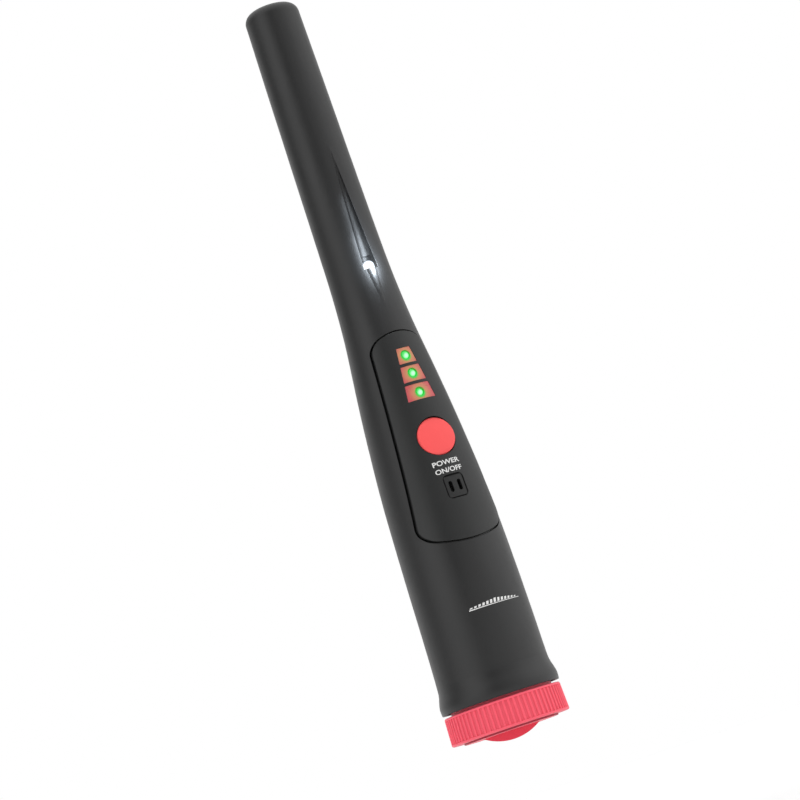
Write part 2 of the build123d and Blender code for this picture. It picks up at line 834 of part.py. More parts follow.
with BuildPart() as motor_leads:
    lead_z = motor_foot - 3.6
    for x in (-1.3, 1.3):
        joint_on_board = at(x, (lead_z - button_z) / cos(radians(panel_tilt)), board_back)
        add(wire([(x, motor_y, motor_foot), (x, motor_y, lead_z), (x, joint_on_board.Y + 0.4, lead_z)],
                 0.4, 2.6))
motor_leads.part.label = "motor_leads"
export_step(motor_leads.part, "parts/motor_leads.step")

# ---------------------------------------------------------------- battery
battery_top = battery_z + battery_body
with BuildPart() as battery:
    with BuildSketch(Plane.XY.offset(battery_z)):
        with Locations((0, battery_y)):
            RectangleRounded(battery_w, battery_t, battery_corner)
    extrude(amount=battery_body)
    fillet(battery.faces().sort_by(Axis.Z)[0].edges(), 0.6)
    fillet(battery.faces().sort_by(Axis.Z)[-1].edges(), 0.6)
battery.part.label = "battery"
export_step(battery.part, "parts/battery.step")

with BuildPart() as battery_terminals:
    with BuildSketch(Plane.XY.offset(battery_top)):
        with Locations((-terminal_pitch / 2, battery_y)):
            Circle(2.9)
        with Locations((terminal_pitch / 2, battery_y)):
            RegularPolygon(4.4, 6)
            Circle(3.1, mode=Mode.SUBTRACT)
    extrude(amount=terminal_height)
battery_terminals.part.label = "battery_terminals"
export_step(battery_terminals.part, "parts/battery_terminals.step")

connector_z = battery_top + terminal_height
with BuildPart() as battery_connector:
    with BuildSketch(Plane.XY.offset(connector_z)):
        with Locations((0, battery_y)):
            RectangleRounded(25.0, 13.0, 2.2)
    extrude(amount=2.4)
    fillet(battery_connector.faces().sort_by(Axis.Z)[-1].edges(), 0.5)
battery_connector.part.label = "battery_connector"
export_step(battery_connector.part, "parts/battery_connector.step")

lead_end = at(supply_x, supply_v - 2.0, board_back + 1.6)
lead_start_y = lead_end.Y + 0.6


def battery_lead(x):
    """One of the battery connector's leads, from the connector to the board."""
    return wire([(x, lead_start_y, connector_z + 2.4),
                 (x, lead_start_y, connector_z + 4.4),
                 (x, lead_end.Y, lead_end.Z - 0.16)], 0.55, 2.5)


with BuildPart() as battery_lead_red:
    add(battery_lead(supply_x - 1.3))
battery_lead_red.part.label = "battery_lead_red"
export_step(battery_lead_red.part, "parts/battery_lead_red.step")

with BuildPart() as battery_lead_black:
    add(battery_lead(supply_x + 1.3))
battery_lead_black.part.label = "battery_lead_black"
export_step(battery_lead_black.part, "parts/battery_lead_black.step")

bulkhead_z = connector_z + 3.0
with BuildPart() as bay_bulkhead:
    with BuildSketch(Plane.XY.offset(bulkhead_z)):
        with Locations((0, 4.0)):
            Rectangle(40, 26.4)
        with Locations((supply_x, lead_start_y)):
            SlotCenterToCenter(2.6, 1.8, mode=Mode.SUBTRACT)
    extrude(amount=1.3)
    add(skin(-wall - 0.05), mode=Mode.INTERSECT)
bay_bulkhead.part.label = "bay_bulkhead"
export_step(bay_bulkhead.part, "parts/bay_bulkhead.step")

# ---------------------------------------------------------------- battery cap
fin_plane = Plane(origin=(0, 0, 0),
                  x_dir=(cos(radians(fin_angle)), sin(radians(fin_angle)), 0),
                  z_dir=(sin(radians(fin_angle)), -cos(radians(fin_angle)), 0))
rib_slope = Vector(band_core_top - band_core_foot, 0, band_top - band_foot)
rib_foot = Plane(origin=(band_core_foot, 0, band_foot), z_dir=rib_slope).offset(lip)

with BuildPart(rib_foot) as band_rib:
    Cylinder(rib_radius, rib_slope.length - 2 * lip + 0.1, align=(Align.CENTER, Align.CENTER, Align.MIN))

with BuildPart() as battery_cap:
    # ribbed band between two plain lips
    with Locations((0, 0, band_foot)):
        Cone(band_core_foot, band_core_top, band_top - band_foot,
             align=(Align.CENTER, Align.CENTER, Align.MIN))
    with BuildSketch(Plane.XY.offset(band_foot)):
        Circle(band_core_foot + rib_radius)
    extrude(amount=lip)
    with BuildSketch(Plane.XY.offset(band_top - lip)):
        Circle(band_core_top + rib_radius)
    extrude(amount=lip)
    fillet(battery_cap.faces().filter_by(Axis.Z).sort_by(Axis.Z)[-1].edges(), 0.5)
    fillet(battery_cap.faces().filter_by(Axis.Z).sort_by(Axis.Z)[0].edges(), 0.6)
    with PolarLocations(0, rib_count):
        add(band_rib.part)
    # base disc and finger fin
    with BuildSketch(Plane.XY.offset(base_disc_z)):
        Circle(base_disc_radius)
    extrude(amount=band_foot - base_disc_z + 0.5)
    fillet(battery_cap.faces().filter_by(Axis.Z).sort_by(Axis.Z)[0].edges(), 0.2)
    with BuildSketch(fin_plane):
        with Locations((0, fin_radius)):
            Circle(fin_radius)
        Rectangle(2 * fin_radius, band_foot + 0.4, align=(Align.CENTER, Align.MIN), mode=Mode.INTERSECT)
    extrude(amount=fin_thickness / 2, both=True)
    # threaded neck
    with BuildSketch(Plane.XY.offset(band_top)):
        Circle(neck_root)
    extrude(amount=neck_top - band_top)
    with BuildSketch(Plane.XY.offset(band_top)):
        Circle(neck_crest)
    extrude(amount=oring_z - oring_radius - band_top)
    with BuildSketch(Plane.XY.offset(oring_z + oring_radius + 0.05)):
        Circle(neck_crest - 0.2)
    extrude(amount=0.5)
    add(thread_ridge(neck_crest, neck_root, *male_thread).rotate(Axis.Z, male_phase))
    # inside
    with BuildSketch(Plane.XY.offset(floor_top)):
        Circle(neck_inner)
        Circle(pillar_radius, mode=Mode.SUBTRACT)
    extrude(amount=neck_top - floor_top, mode=Mode.SUBTRACT)
    with BuildSketch(Plane.XY.offset(disc_z)):
        Circle(neck_inner - 0.5)
    extrude(amount=neck_top - disc_z, mode=Mode.SUBTRACT)
    with BuildSketch(Plane.XY.offset(disc_z)):
        Circle(stud_radius)
    extrude(amount=disc_thickness + 0.1)
    with BuildSketch(Plane.XY.offset(disc_z + disc_thickness + 0.1)):
        Circle(stud_radius + 0.5)
    extrude(amount=0.9)
battery_cap.part.label = "battery_cap"
export_step(battery_cap.part, "parts/battery_cap.step")

with BuildPart() as cap_o_ring:
    with BuildSketch(Plane.XZ):
        with Locations((neck_root + oring_radius, oring_z)):
            Circle(oring_radius)
    revolve(axis=Axis.Z)
cap_o_ring.part.label = "cap_o_ring"
export_step(cap_o_ring.part, "parts/cap_o_ring.step")

with BuildPart() as pressure_disc:
    with BuildSketch(Plane.XY.offset(disc_z)):
        Circle(disc_radius)
        Circle(stud_radius + stud_clearance, mode=Mode.SUBTRACT)
    extrude(amount=disc_thickness)
pressure_disc.part.label = "pressure_disc"
export_step(pressure_disc.part, "parts/pressure_disc.step")

with BuildPart() as foam_pad:
    with BuildSketch(Plane.XY.offset(disc_z + disc_thickness)):
        Circle(disc_radius - 0.5)
        Circle(stud_radius + 1.2, mode=Mode.SUBTRACT)
    extrude(amount=battery_z - disc_z - disc_thickness)
foam_pad.part.label = "foam_pad"
export_step(foam_pad.part, "parts/foam_pad.step")

print("cap travel per turn", thread_pitch, "mm, full travel",
      male_thread[1] - female_thread[0] + thread_base)
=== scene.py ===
import math

import bmesh
import bpy
from mathutils import Matrix, Vector
from mathutils.bvhtree import BVHTree


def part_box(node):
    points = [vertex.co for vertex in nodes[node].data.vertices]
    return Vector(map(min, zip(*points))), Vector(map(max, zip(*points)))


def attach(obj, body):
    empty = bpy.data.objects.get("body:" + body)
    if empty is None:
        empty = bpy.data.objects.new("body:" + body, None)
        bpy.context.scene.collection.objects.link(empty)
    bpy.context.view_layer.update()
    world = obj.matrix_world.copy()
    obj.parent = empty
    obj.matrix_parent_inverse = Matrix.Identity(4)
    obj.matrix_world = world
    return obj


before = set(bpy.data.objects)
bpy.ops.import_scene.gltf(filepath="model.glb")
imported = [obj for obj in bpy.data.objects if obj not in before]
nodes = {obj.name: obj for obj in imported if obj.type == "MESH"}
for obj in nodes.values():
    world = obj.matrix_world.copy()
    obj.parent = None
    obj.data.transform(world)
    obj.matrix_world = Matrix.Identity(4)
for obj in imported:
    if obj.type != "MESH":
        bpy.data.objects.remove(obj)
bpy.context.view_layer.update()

MM = 0.001
scene = bpy.context.scene
scene.view_settings.view_transform = "Standard"

# ---------------------------------------------------------------- directions
VIEW_AZIMUTH = math.radians(-25.6)     # where the photograph was taken from
CAMERA_DISTANCE = 0.9
CAMERA_HEIGHT = -0.0153
AIM_HEIGHT = 0.1136
AIM_SIDE = -0.00019
TIP_LEAN = math.radians(18.6)          # the tip leans to the left in the picture
LENS = 127.8
SENSOR_WIDTH = 36.0
PANEL_TILT = math.radians(5.5)
FLOOR_DROP = 0.045
FLOOR_HALF = 6.0

up = Vector((0, 0, 1))
back = Vector((math.sin(VIEW_AZIMUTH), -math.cos(VIEW_AZIMUTH), 0))
side = (-back).cross(up)
panel_out = Vector((0, -math.cos(PANEL_TILT), math.sin(PANEL_TILT)))
panel_up = Vector((0, math.sin(PANEL_TILT), math.cos(PANEL_TILT)))


def middle(name):
    low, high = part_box(name)
    return (low + high) / 2


# ---------------------------------------------------------------- shader kit
def add_node(tree, kind, inputs=None, **settings):
    """Adds a node. Each input is a value, or the socket to link it to."""
    node = tree.nodes.new(kind)
    for key, value in settings.items():
        setattr(node, key, value)
    for key, value in (inputs or {}).items():
        if isinstance(value, bpy.types.NodeSocket):
            tree.links.new(value, node.inputs[key])
        else:
            node.inputs[key].default_value = value
    return node


class Shade:
    """A material's node tree, with a Principled shader at its end."""

    def __init__(self, name):
        self.material = bpy.data.materials.new(name)
        self.material.use_nodes = True
        self.tree = self.material.node_tree
        self.tree.nodes.clear()
        self.shader = self.add("ShaderNodeBsdfPrincipled")
        self.add("ShaderNodeOutputMaterial", {"Surface": self.shader.outputs[0]})
        self.place = self.add("ShaderNodeTexCoord").outputs["Object"]

    def add(self, kind, inputs=None, **settings):
        return add_node(self.tree, kind, inputs, **settings)

    def set(self, **values):
        for key, value in values.items():
            socket = self.shader.inputs[key.replace("_", " ")]
            if isinstance(value, bpy.types.NodeSocket):
                self.tree.links.new(value, socket)
            else:
                socket.default_value = value

    def noise(self, scale, detail=2.0, roughness=0.5, distortion=0.0, place=None):
        return self.add("ShaderNodeTexNoise", {
            "Vector": place or self.place, "Scale": scale, "Detail": detail,
            "Roughness": roughness, "Distortion": distortion}).outputs["Fac"]

    def cells(self, scale, feature="F1", place=None):
        return self.add("ShaderNodeTexVoronoi", {"Vector": place or self.place, "Scale": scale},
                        feature=feature).outputs["Distance"]

    def stretched(self, x, y, z):
        return self.add("ShaderNodeMapping", {"Vector": self.place, "Scale": (x, y, z)}).outputs[0]

    def math(self, operation, first, second=0.0, clamp=False):
        return self.add("ShaderNodeMath", {0: first, 1: second}, operation=operation,
                        use_clamp=clamp).outputs[0]

    def remap(self, value, low, high, to_low, to_high, smooth=False):
        return self.add("ShaderNodeMapRange", {
            "Value": value, "From Min": low, "From Max": high, "To Min": to_low, "To Max": to_high},
            interpolation_type="SMOOTHSTEP" if smooth else "LINEAR").outputs[0]

    def blend(self, share, first, second, how="MIX"):
        return self.add("ShaderNodeMix", {0: share, 6: rgba(first), 7: rgba(second)},
                        data_type="RGBA", blend_type=how).outputs[2]

    def bump(self, height, distance, strength=1.0, normal=None):
        inputs = {"Height": height, "Distance": distance, "Strength": strength}
        if normal is not None:
            inputs["Normal"] = normal
        return self.add("ShaderNodeBump", inputs).outputs[0]

    def vector(self, operation, first, second=(0.0, 0.0, 0.0)):
        return self.add("ShaderNodeVectorMath", {0: first, 1: tuple(second)},
                        operation=operation).outputs[0]

    def away_from(self, point):
        return self.vector("SUBTRACT", self.place, point)

    def reach(self, point, axes):
        """Distance from a point, counting only the axes that are 1."""
        kept = self.vector("MULTIPLY", self.away_from(point), axes)
        return self.add("ShaderNodeVectorMath", {0: kept}, operation="LENGTH").outputs["Value"]

    def rounded(self, radius):
        return self.add("ShaderNodeBevel", {"Radius": radius}, samples=4).outputs[0]

    def edges(self, radius):
        """Near 1 on sharp convex and concave edges, 0 on open faces."""
        flat = self.add("ShaderNodeNewGeometry").outputs["Normal"]
        turn = self.add("ShaderNodeVectorMath", {0: self.rounded(radius), 1: flat},
                        operation="DOT_PRODUCT").outputs["Value"]
        return self.remap(turn, 0.995, 0.86, 0.0, 1.0)


SEEN_FROM_FRONT = (1.0, 0.0, 1.0)
SEEN_FROM_BELOW = (1.0, 1.0, 0.0)


def rgba(colour):
    if isinstance(colour, bpy.types.NodeSocket):
        return colour
    return (colour[0], colour[1], colour[2], 1.0)


def scaled(colour, factor):
    return tuple(min(1.0, part * factor) for part in colour)


def moulded(name, colour, roughness, grain=4200.0, depth=0.006, spread=0.07, specular=0.5,
            round_edge=0.0, wear=0.0, hair=0.0, variation=0.08):
    """Injection moulded plastic: spark-eroded grain, mould flow, faint hairlines, rubbed edges."""
    m = Shade(name)
    fine = m.noise(grain, 2.0, 0.6)
    peel = m.noise(grain / 6, 2.0, 0.5)
    flow = m.noise(70.0, 4.0, 0.6)
    smudge = m.noise(22.0, 3.0, 0.65, 0.4)
    tone = m.blend(flow, scaled(colour, 1 - variation), scaled(colour, 1 + variation))
    tone = m.blend(m.remap(fine, 0.35, 0.75, 0.0, 0.16), tone, scaled(colour, 1.6))
    rough = m.remap(smudge, 0.3, 0.7, roughness - spread, roughness + spread)
    rough = m.math("ADD", rough, m.remap(fine, 0.3, 0.7, -0.03, 0.03), clamp=True)
    normal = m.rounded(round_edge) if round_edge else None
    normal = m.bump(peel, depth * 1.6 * MM, 0.5, normal)
    normal = m.bump(fine, depth * MM, 0.8, normal)
    if hair:
        line = m.math("ABSOLUTE", m.math("SUBTRACT", m.noise(55.0, 1.0, 0.4, 1.2), 0.5))
        scratch = m.remap(line, 0.0, 0.0025, 1.0, 0.0)
        patchy = m.math("MULTIPLY", scratch, m.remap(m.noise(38.0, 2.0), 0.55, 0.7, 0.0, hair))
        tone = m.blend(patchy, tone, scaled(colour, 3.0))
    if wear:
        rubbed = m.math("MULTIPLY", m.edges(round_edge or 0.25 * MM),
                        m.remap(m.noise(420.0, 3.0, 0.7), 0.35, 0.65, 0.3, 1.0))
        rubbed = m.math("MULTIPLY", rubbed, wear)
        tone = m.blend(rubbed, tone, scaled(colour, 2.4))
        rough = m.math("SUBTRACT", rough, m.math("MULTIPLY", rubbed, 0.12), clamp=True)
    m.set(Base_Color=tone, Roughness=rough, Normal=normal, Specular_IOR_Level=specular)
    return m


def metal(name, colour, roughness, brushed=(900.0, 900.0, 900.0), depth=0.002, tarnish=None):
    """Bare or plated metal with fine tool marks and a little tarnish."""
    m = Shade(name)
    marks = m.noise(1.0, 3.0, 0.6, place=m.stretched(*brushed))
    cloud = m.noise(260.0, 4.0, 0.6)
    dull = tarnish or scaled(colour, 0.6)
    tone = m.blend(m.remap(cloud, 0.4, 0.75, 0.0, 0.6), colour, dull)
    rough = m.remap(marks, 0.3, 0.7, roughness - 0.08, roughness + 0.1)
    m.set(Base_Color=tone, Metallic=1.0, Roughness=rough, Normal=m.bump(marks, depth * MM, 0.7))
    return m


# ---------------------------------------------------------------- colours (linear)
BLACK_BODY = (0.0080, 0.0081, 0.0083)
BLACK_PANEL = (0.0068, 0.0074, 0.0073)
CAP_RED = (0.96, 0.100, 0.150)
# Painted shade: the fin and the base disc under the band are darker red where the band shades them.
FIN_PAINTED_SHADE_RED = (0.80, 0.052, 0.095)
RIM_PAINTED_SHADOW_RED = (0.36, 0.022, 0.045)         # base disc under the cap's band
BUTTON_RED = (0.95, 0.090, 0.090)
PRINT_WHITE = (0.80, 0.80, 0.79)
LAMP_GLOW = (0.80, 0.90, 1.0)


def window(index):
    """Red-tinted window, lit from behind by its green LED."""
    m = Shade("window_tint_%d" % index)
    reach = m.reach(middle("indicator_led_%d" % index), SEEN_FROM_FRONT)
    flow = m.noise(900.0, 3.0, 0.6)
    tone = m.blend(flow, (0.50, 0.075, 0.085), (0.62, 0.100, 0.110))
    ring = m.remap(reach, 1.30 * MM, 2.15 * MM, 1.0, 0.0, True)
    halo = m.remap(reach, 1.2 * MM, 4.6 * MM, 1.0, 0.0, True)
    tone = m.blend(ring, tone, (0.02, 0.20, 0.03))
    glow = m.blend(ring, (0.03, 0.30, 0.04), (0.01, 0.44, 0.04))
    strength = m.math("MAXIMUM", m.math("MULTIPLY", halo, 0.62), ring)
    normal = m.bump(m.noise(1500.0, 2.0), 0.004 * MM, 0.5, m.rounded(0.12 * MM))
    m.set(Base_Color=tone, Roughness=m.remap(flow, 0.3, 0.7, 0.24, 0.38), Normal=normal,
          Specular_IOR_Level=0.4, Coat_Weight=0.15, Coat_Roughness=0.2,
          Emission_Color=glow, Emission_Strength=strength)
    return m


def indicator(index):
    """Green LED: a clear dome with a bright die behind it."""
    m = Shade("led_green_%d" % index)
    reach = m.reach(middle("indicator_led_%d" % index), SEEN_FROM_FRONT)
    core = m.remap(reach, 0.35 * MM, 1.2 * MM, 1.0, 0.0, True)
    mottle = m.noise(1800.0, 2.0)
    glow = m.blend(core, (0.004, 0.46, 0.035), (0.42, 1.0, 0.50))
    tone = m.blend(mottle, (0.02, 0.28, 0.05), (0.04, 0.36, 0.07))
    m.set(Base_Color=tone, Roughness=m.remap(mottle, 0.3, 0.7, 0.08, 0.16), Coat_Weight=0.4,
          Normal=m.bump(mottle, 0.001 * MM, 0.4),
          Emission_Color=glow, Emission_Strength=m.math("ADD", m.math("MULTIPLY", core, 0.5), 0.85))
    return m


def lamp():
    """Flashlight LED: clear lens over a white die."""
    m = Shade("lamp_white")
    mottle = m.noise(1600.0, 2.0)
    facing = m.add("ShaderNodeLayerWeight", {"Blend": 0.4}).outputs["Facing"]
    glow = m.blend(facing, (1.0, 1.0, 0.97), (0.62, 0.80, 1.0))
    m.set(Base_Color=m.blend(mottle, (0.020, 0.022, 0.025), (0.030, 0.032, 0.036)),
          Roughness=m.remap(mottle, 0.3, 0.7, 0.40, 0.50), Specular_IOR_Level=0.3,
          Normal=m.bump(mottle, 0.001 * MM, 0.4), Emission_Color=glow,
          Emission_Strength=m.remap(facing, 0.22, 0.80, 1.5, 0.22, True))
    return m


# Battery cap's band in millimetres: heights of its foot and top, and its radius between the ribs.
BAND_FOOT = 3.4
BAND_TOP = 12.6
CORE_AT_FOOT = 19.08
CORE_AT_TOP = 18.72


def cap_red():
    """The cap's red plastic, with painted shade between its band's ribs, on its fin and under the
    band.
    """
    m = moulded("red_plastic", CAP_RED, 0.46, 3800.0, 0.0050, 0.06, 0.42, 0.16 * MM,
                variation=0.035)
    tone = m.shader.inputs["Base Color"].links[0].from_socket
    height = m.add("ShaderNodeSeparateXYZ", {"Vector": m.place}).outputs["Z"]
    reach = m.reach((0.0, 0.0, 0.0), SEEN_FROM_BELOW)
    core = m.remap(height, BAND_FOOT * MM, BAND_TOP * MM, CORE_AT_FOOT * MM, CORE_AT_TOP * MM)
    # Painted shade: darker red between the ribs of the band.
    groove_painted_shade = m.remap(m.math("SUBTRACT", reach, core), 0.04 * MM, 0.34 * MM, 0.9, 0.0, True)
    tone = m.blend(groove_painted_shade, tone, scaled(CAP_RED, 0.86))
    # Painted shade: the fin and everything below the band's foot are darker red; the base disc's
    # outer rim, darker still, is a painted shadow.
    below = m.remap(height, (BAND_FOOT - 0.08) * MM, (BAND_FOOT + 0.02) * MM, 1.0, 0.0)
    tone = m.blend(below, tone, FIN_PAINTED_SHADE_RED)
    outer = m.remap(reach, 14.6 * MM, 15.2 * MM, 0.0, 1.0)
    m.set(Base_Color=m.blend(m.math("MULTIPLY", below, outer), tone, RIM_PAINTED_SHADOW_RED))
    return m


GRILLE_HALF_WIDTH = 3.6
GRILLE_HALF_HEIGHT = 3.9


def grille():
    """The sounder's grille, with painted shade on its rim where the gap round it lies in shadow."""
    m = moulded("grille_plastic", (0.0085, 0.0088, 0.0088), 0.55, 4200.0, 0.0060, 0.05, 0.45,
                0.15 * MM, 0.2)
    tone = m.shader.inputs["Base Color"].links[0].from_socket
    gap = m.away_from(middle("speaker_grille"))
    parts = m.add("ShaderNodeSeparateXYZ", {"Vector": gap}).outputs
    wide = m.math("DIVIDE", m.math("ABSOLUTE", parts["X"]), GRILLE_HALF_WIDTH * MM)
    tall = m.math("DIVIDE", m.math("ABSOLUTE", parts["Z"]), GRILLE_HALF_HEIGHT * MM)
    # Painted shade: the rim is darker and duller, standing for the shadowed gap round the grille.
    rim = m.remap(m.math("MAXIMUM", wide, tall), 0.84, 0.90, 0.0, 1.0, True)
    m.set(Base_Color=m.blend(rim, tone, (0.0012, 0.0012, 0.0012)),
          Specular_IOR_Level=m.remap(rim, 0.0, 1.0, 0.45, 0.12))
    return m


def rubber(name, colour, roughness=0.75):
    m = moulded(name, colour, roughness, grain=3000.0, depth=0.010, spread=0.08, specular=0.3)
    m.set(Sheen_Weight=0.15, Sheen_Roughness=0.5)
    return m


def foam():
    """Open-cell foam."""
    m = Shade("foam")
    pores = m.cells(2600.0)
    coarse = m.cells(1300.0)
    open_pore = m.remap(pores, 0.15, 0.6, 0.0, 1.0)
    # Painted shade: the pores are darker than the cell walls.
    tone = m.blend(open_pore, (0.018, 0.018, 0.020), (0.075, 0.076, 0.080))
    normal = m.bump(coarse, 0.12 * MM, 0.7)
    m.set(Base_Color=tone, Roughness=m.remap(coarse, 0.0, 0.7, 0.98, 0.84),
          Normal=m.bump(pores, 0.08 * MM, 0.9, normal), Specular_IOR_Level=0.15,
          Sheen_Weight=0.3, Sheen_Roughness=0.6)
    return m


def board():
    """Circuit board: solder mask with copper tracks and vias under it."""
    m = Shade("board_green")
    tracks = m.add("ShaderNodeTexBrick", {
        "Vector": m.add("ShaderNodeMapping", {"Vector": m.place,
                        "Rotation": (math.radians(90), 0, 0)}).outputs[0],
        "Scale": 340.0, "Mortar Size": 0.035, "Mortar Smooth": 0.1,
        "Color1": (0.0, 0.0, 0.0, 1.0), "Color2": (0.0, 0.0, 0.0, 1.0),
        "Mortar": (1.0, 1.0, 1.0, 1.0)}).outputs["Color"]
    weave = m.noise(1.0, 2.0, place=m.stretched(2400.0, 2400.0, 700.0))
    vias = m.remap(m.cells(420.0), 0.06, 0.10, 1.0, 0.0)
    tone = m.blend(weave, (0.006, 0.060, 0.022), (0.009, 0.085, 0.032))
    tone = m.blend(tracks, tone, (0.022, 0.170, 0.060))
    tone = m.blend(vias, tone, (0.62, 0.60, 0.54))
    m.set(Base_Color=tone, Roughness=m.remap(weave, 0.3, 0.7, 0.22, 0.34),
          Normal=m.bump(tracks, 0.03 * MM, 0.6), Coat_Weight=0.3, Coat_Roughness=0.15)
    return m


def winding():
    """Enamelled copper wire, wound round the former turn by turn."""
    m = Shade("copper_wire")
    turns = m.add("ShaderNodeTexWave", {"Vector": m.place, "Scale": 1100.0, "Distortion": 0.15,
                  "Detail": 1.0}, bands_direction="Z", wave_profile="SIN").outputs["Fac"]
    age = m.noise(300.0, 3.0)
    # Painted shade: the tone is darker between the turns.
    tone = m.blend(turns, (0.16, 0.035, 0.012), (0.62, 0.20, 0.075))
    tone = m.blend(m.remap(age, 0.45, 0.7, 0.0, 0.35), tone, (0.36, 0.09, 0.03))
    m.set(Base_Color=tone, Metallic=0.9, Roughness=m.remap(age, 0.3, 0.7, 0.22, 0.36),
          Normal=m.bump(turns, 0.10 * MM, 0.9), Coat_Weight=0.35)
    return m


def battery_sleeve():
    """Plain 9 V block: dark wrap with a lighter metallic band and a rolled seam."""
    m = Shade("battery_case")
    low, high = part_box("battery")
    height = m.add("ShaderNodeSeparateXYZ", {"Vector": m.place}).outputs["Z"]
    split = low.z + 0.64 * (high.z - low.z)
    band = m.remap(height, split, split + 0.3 * MM, 0.0, 1.0)
    fine = m.noise(1.0, 3.0, 0.6, place=m.stretched(2600.0, 2600.0, 140.0))
    dark = m.blend(fine, (0.020, 0.021, 0.024), (0.032, 0.033, 0.037))
    bright = m.blend(fine, (0.50, 0.30, 0.12), (0.66, 0.42, 0.19))
    off_split = m.math("ABSOLUTE", m.math("SUBTRACT", height, split))
    rim = m.remap(off_split, 0.25 * MM, 0.4 * MM, 1.0, 0.0)
    tone = m.blend(rim, m.blend(band, dark, bright), (0.75, 0.75, 0.76))
    m.set(Base_Color=tone, Metallic=m.math("MULTIPLY", band, 0.9),
          Roughness=m.remap(fine, 0.3, 0.7, 0.26, 0.42), Normal=m.bump(fine, 0.004 * MM, 0.6),
          Coat_Weight=0.25, Coat_Roughness=0.12)
    return m


def tone_set():
    return {
        "housing_plastic": moulded("housing_plastic", BLACK_BODY, 0.40, 4200.0, 0.0065, 0.05, 0.5,
                                   0.22 * MM, 0.22, 0.10),
        "panel_plastic": moulded("panel_plastic", BLACK_PANEL, 0.42, 4600.0, 0.0060, 0.05, 0.48,
                                 0.22 * MM, 0.20, 0.08),
        "red_plastic": cap_red(),
        "button_red": moulded("button_red", BUTTON_RED, 0.52, 3600.0, 0.0080, 0.05, 0.38,
                              0.30 * MM, 0.0, 0.0, 0.035),
        "grille_plastic": grille(),
        "lamp_white": lamp(),
        "seal_rubber": rubber("seal_rubber", (0.012, 0.012, 0.013)),
        "foam": foam(),
        "speaker_black": moulded("speaker_black", (0.010, 0.010, 0.011), 0.5, 2600.0, 0.010),
        "board_green": board(),
        "chip_black": moulded("chip_black", (0.014, 0.014, 0.015), 0.6, 5200.0, 0.010,
                              round_edge=0.08 * MM, wear=0.15),
        "tinned": metal("tinned", (0.80, 0.79, 0.76), 0.28, (1500.0, 1500.0, 1500.0), 0.004),
        "capacitor_sleeve": moulded("capacitor_sleeve", (0.010, 0.030, 0.085), 0.3, 2400.0, 0.004),
        "white_nylon": moulded("white_nylon", (0.74, 0.73, 0.69), 0.42, 2800.0, 0.006),
        "screw_steel": metal("screw_steel", (0.62, 0.62, 0.63), 0.26, (400.0, 400.0, 2600.0),
                             0.003),
        "ferrite": moulded("ferrite", (0.030, 0.029, 0.028), 0.42, 1900.0, 0.014, specular=0.7),
        "copper_wire": winding(),
        "former_plastic": moulded("former_plastic", (0.055, 0.056, 0.060), 0.48, 2600.0, 0.006,
                                  round_edge=0.15 * MM, wear=0.2),
        "motor_steel": metal("motor_steel", (0.60, 0.60, 0.61), 0.30, (2200.0, 2200.0, 260.0),
                             0.004),
        "tungsten": metal("tungsten", (0.30, 0.30, 0.32), 0.42, (1500.0, 1500.0, 1500.0), 0.008),
        "battery_case": battery_sleeve(),
        "lead_red": moulded("lead_red", (0.55, 0.022, 0.018), 0.45, 2400.0, 0.005),
        "lead_black": moulded("lead_black", (0.012, 0.012, 0.012), 0.45, 2400.0, 0.005),
        "lead_yellow": moulded("lead_yellow", (0.72, 0.46, 0.03), 0.45, 2400.0, 0.005),
        "beige_chip": moulded("beige_chip", (0.42, 0.33, 0.22), 0.5, 3600.0, 0.010, wear=0.3),
    }


finish_of = tone_set()
for name, piece in nodes.items():
    for entry in piece.material_slots:
        slot_name = entry.material.name.split(".")[0]
        if slot_name == "window_tint":
            entry.material = window(int(name[-1])).material
        elif slot_name == "led_green":
            entry.material = indicator(int(name[-1])).material
        elif slot_name in finish_of:
            entry.material = finish_of[slot_name].material


# ---------------------------------------------------------------- printed marks
def surface_of(name):
    return BVHTree.FromObject(nodes[name], bpy.context.evaluated_depsgraph_get())


def print_on(mesh, name, target, origin, across, upward, outward, lift=0.012 * MM):
    """Wraps a flat mesh, drawn in metres on X and Y with its thickness in Z, on a CAD surface."""
    tree = surface_of(target)
    for vertex in mesh.vertices:
        flat = origin + across * vertex.co.x + upward * vertex.co.y
        hit = tree.ray_cast(flat + outward * 0.03, -outward)[0]
        if hit is None:
            raise RuntimeError("printed mark %s misses %s" % (name, target))
        vertex.co = hit + outward * (vertex.co.z + lift)
    mesh.update()
    piece = bpy.data.objects.new(name, mesh)
    scene.collection.objects.link(piece)
    return piece


def cut_fine(mesh, longest):
    """Splits long edges, so that the mark follows a curved surface."""
    form = bmesh.new()
    form.from_mesh(mesh)
    bmesh.ops.triangulate(form, faces=form.faces)
    for _ in range(4):
        long_edges = [e for e in form.edges if e.calc_length() > longest]
        if not long_edges:
            break
        bmesh.ops.subdivide_edges(form, edges=long_edges, cuts=1)
        bmesh.ops.triangulate(form, faces=form.faces)
    form.to_mesh(mesh)
    form.free()


def lettering(text, width, height, thickness):
    """A word as a flat solid mesh, centred on the origin."""
    curve = bpy.data.curves.new("word", "FONT")
    curve.body = text
    curve.align_x = "CENTER"
    curve.offset = 0.018
    curve.extrude = 0.5
    curve.resolution_u = 6
    carrier = bpy.data.objects.new("word", curve)
    scene.collection.objects.link(carrier)
    bpy.context.view_layer.update()
    mesh = bpy.data.meshes.new_from_object(
        carrier.evaluated_get(bpy.context.evaluated_depsgraph_get()))
    bpy.data.objects.remove(carrier)
    low = Vector(map(min, *[v.co for v in mesh.vertices]))
    high = Vector(map(max, *[v.co for v in mesh.vertices]))
    for vertex in mesh.vertices:
        share = [(vertex.co[i] - low[i]) / (high[i] - low[i]) for i in range(3)]
        vertex.co = ((share[0] - 0.5) * width, (share[1] - 0.5) * height, share[2] * thickness)
    cut_fine(mesh, 0.5 * MM)
    return mesh


